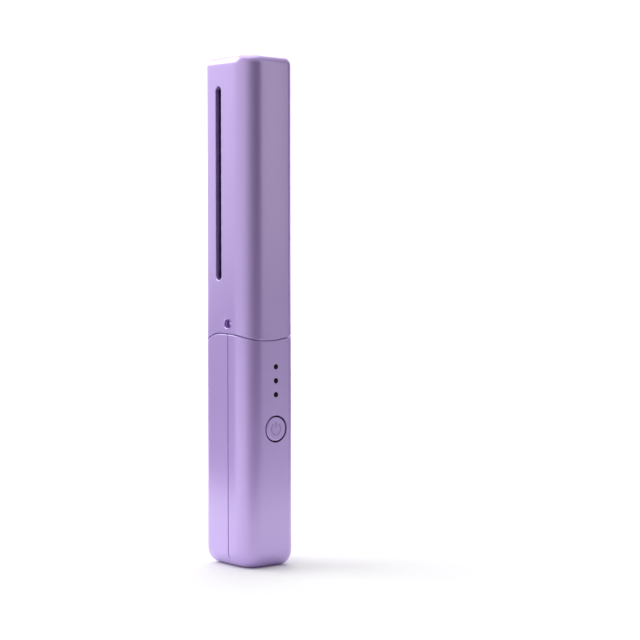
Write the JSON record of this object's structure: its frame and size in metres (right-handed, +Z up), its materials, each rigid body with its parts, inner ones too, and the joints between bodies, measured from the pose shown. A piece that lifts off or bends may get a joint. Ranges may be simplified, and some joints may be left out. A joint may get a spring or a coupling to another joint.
{
  "type": "cordless hair straightener",
  "caption": "Slim upright cordless hair straightener: a finned heated comb on a battery handle with a round button and three lights, under a pull-off slotted cap.",
  "frame": {"origin": "centre of the foot of the closed device, on the surface it stands on", "axes": "+Z up along the body towards the cap's crown, -Y out of the face with the button and the lights, +X to the right as that face is looked at"},
  "size_m": [0.024, 0.027, 0.196],
  "materials": {
    "shell": "satin pearl lavender",
    "heater_bar": "black coated",
    "ceramic": "matt",
    "film": "amber film",
    "tin": "tinned",
    "bead": "dark bead",
    "white_wire": "matt",
    "red_wire": "matt",
    "dark_plastic": "matt",
    "lens": "dark smoked",
    "led": "clear",
    "board": "solder mask",
    "screw_steel": "plated",
    "cell": null,
    "white_plastic": "matt",
    "foam": "soft ring"
  },
  "bodies": {
    "handle": {"handle_front_shell": "shell", "handle_back_shell": "shell", "comb_front": "shell", "comb_back": "shell", "heating_plate": "heater_bar", "ceramic_heater": "ceramic", "heater_films": "film", "thermal_fuse": "tin", "thermistor": "bead", "heater_leads": "white_wire", "tactile_switch": "dark_plastic", "light_guides": "lens", "indicator_leds": "led", "control_board": "board", "board_parts": "dark_plastic", "board_screws": "screw_steel", "usb_socket": "screw_steel", "battery_cell": "cell", "battery_cradle": "white_plastic", "battery_tabs": "tin", "battery_pad": "foam", "battery_leads": "red_wire", "comb_screws": "screw_steel"},
    "cap": {"cap_shell": "shell"},
    "button": {"power_button": "shell", "switch_plunger": "dark_plastic"}
  },
  "joints": [
    {"name": "cap_pull", "type": "slide", "parent": "handle", "child": "cap", "axis": [0, 0, 1], "range_m": [0, 0.118]},
    {"name": "button_press", "type": "slide", "parent": "handle", "child": "button", "axis": [0, 1, 0], "range_m": [0, 0.0005], "stiffness_N_per_m": 3000, "springref_m": -0.0003}
  ]
}
